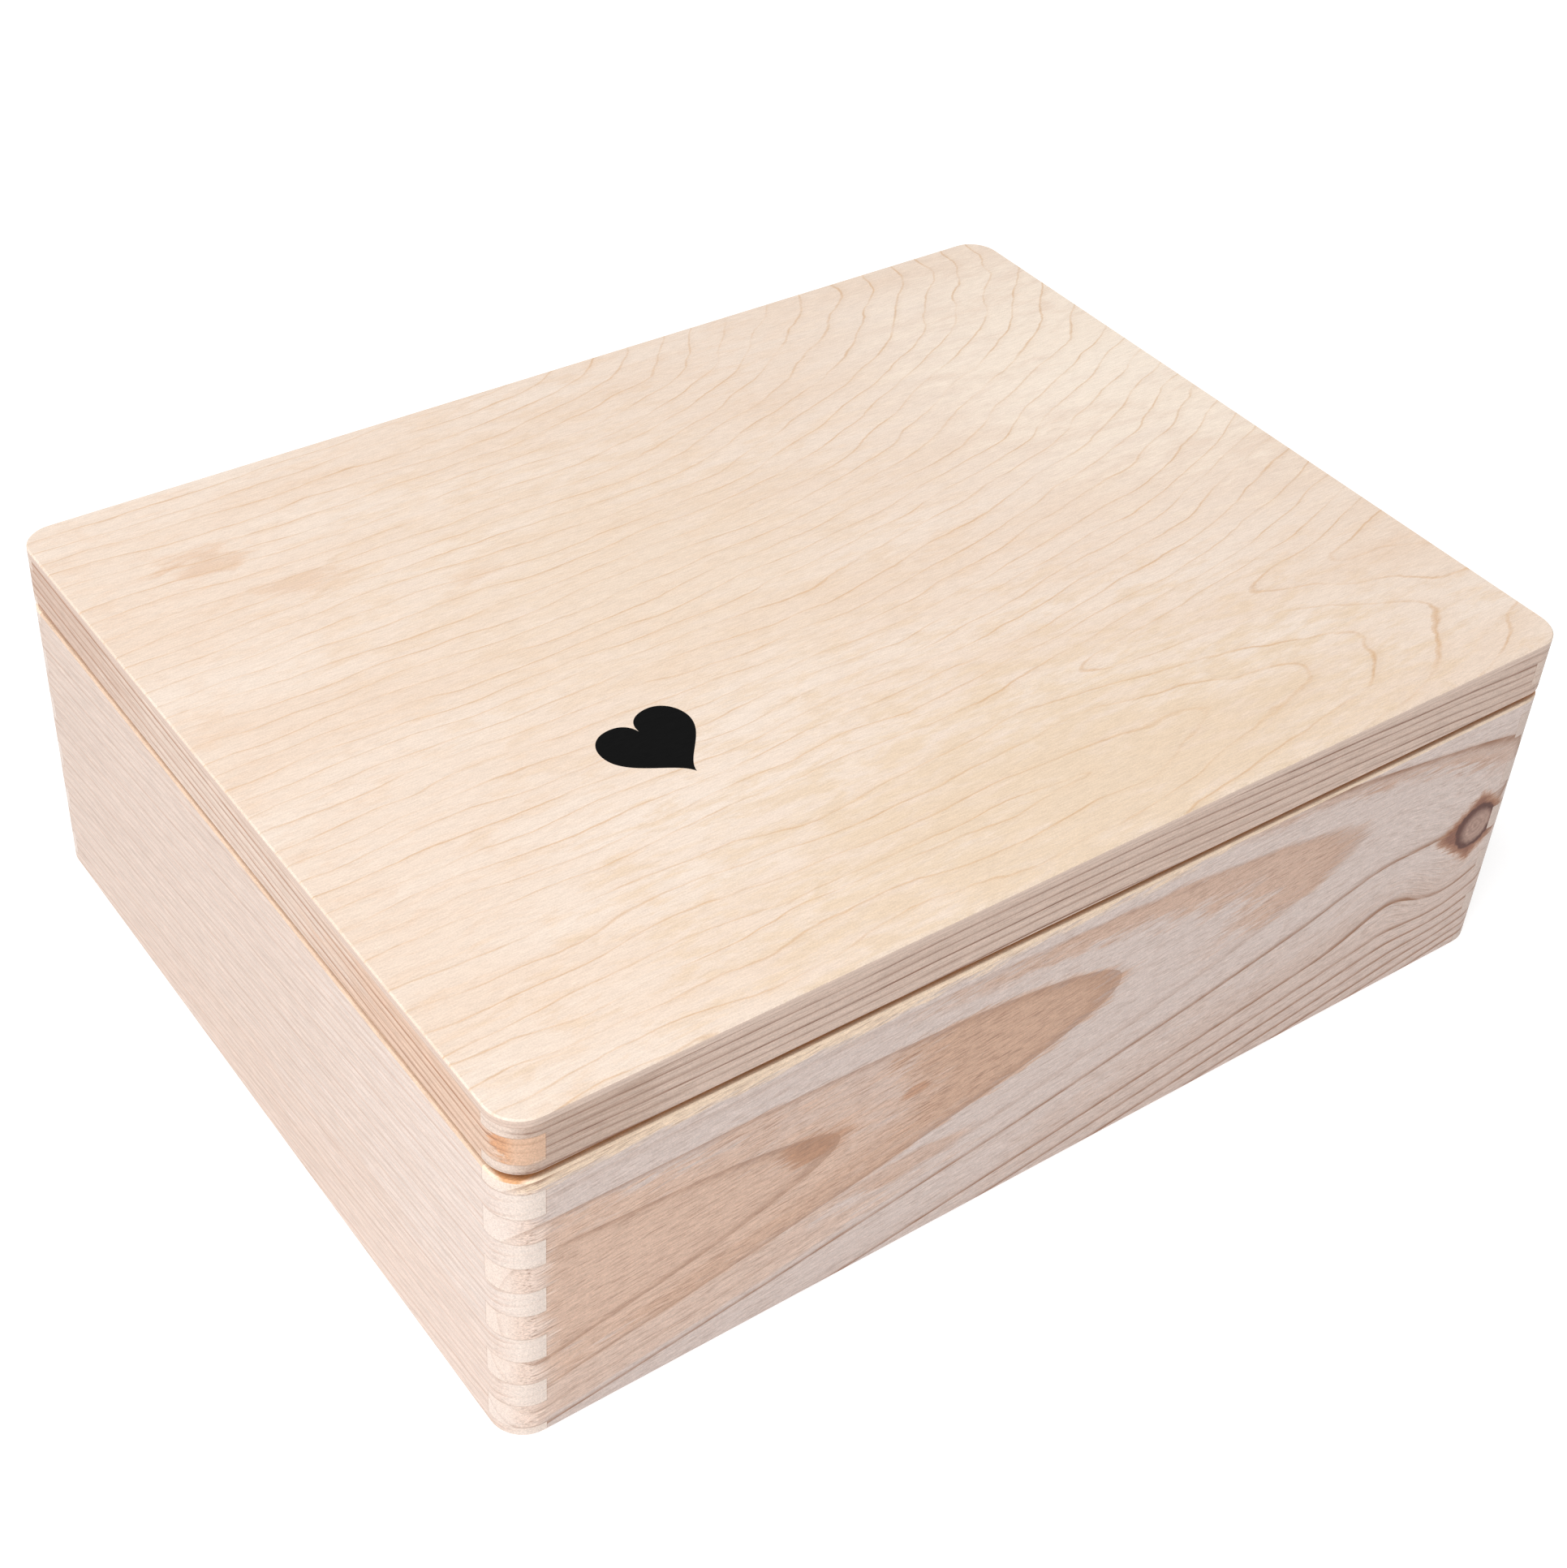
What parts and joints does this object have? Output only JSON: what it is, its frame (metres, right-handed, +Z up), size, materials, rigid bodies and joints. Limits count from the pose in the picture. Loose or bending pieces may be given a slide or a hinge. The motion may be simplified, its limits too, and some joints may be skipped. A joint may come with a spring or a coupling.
{
  "type": "wooden box",
  "caption": "Low rectangular wooden box with rounded finger-jointed corners, a plywood-topped lid on two back hinges and an open seam all round.",
  "frame": {"origin": "centre of the four boards' underside; the hinge barrels reach 4 mm past the back, so the whole box's centre lies 2 mm behind it", "axes": "+X along the front towards the viewer's right, +Y from the front to the hinged back, +Z up"},
  "size_m": [0.4, 0.309, 0.1326],
  "materials": {
    "pine": "sanded, unfinished",
    "birch_plywood": "sanded, unfinished",
    "plated_brass": "brass-plated steel, bright"
  },
  "bodies": {
    "base": {"front_board": "pine", "back_board": "pine", "left_board": "pine", "right_board": "pine", "bottom_panel": "birch_plywood", "left_hinge_base_leaf": "plated_brass", "right_hinge_base_leaf": "plated_brass", "left_hinge_pin": "plated_brass", "right_hinge_pin": "plated_brass", "left_hinge_base_screws": "plated_brass", "right_hinge_base_screws": "plated_brass"},
    "lid": {"lid_front_rail": "pine", "lid_back_rail": "pine", "lid_left_rail": "pine", "lid_right_rail": "pine", "lid_panel": "birch_plywood", "left_hinge_lid_leaf": "plated_brass", "right_hinge_lid_leaf": "plated_brass", "left_hinge_lid_screws": "plated_brass", "right_hinge_lid_screws": "plated_brass"}
  },
  "joints": [
    {"name": "lid_hinge", "type": "hinge", "parent": "base", "child": "lid", "pos_m": [0, 0.1543, 0.1103], "axis": [-1, 0, 0], "range_deg": [0, 180]}
  ]
}
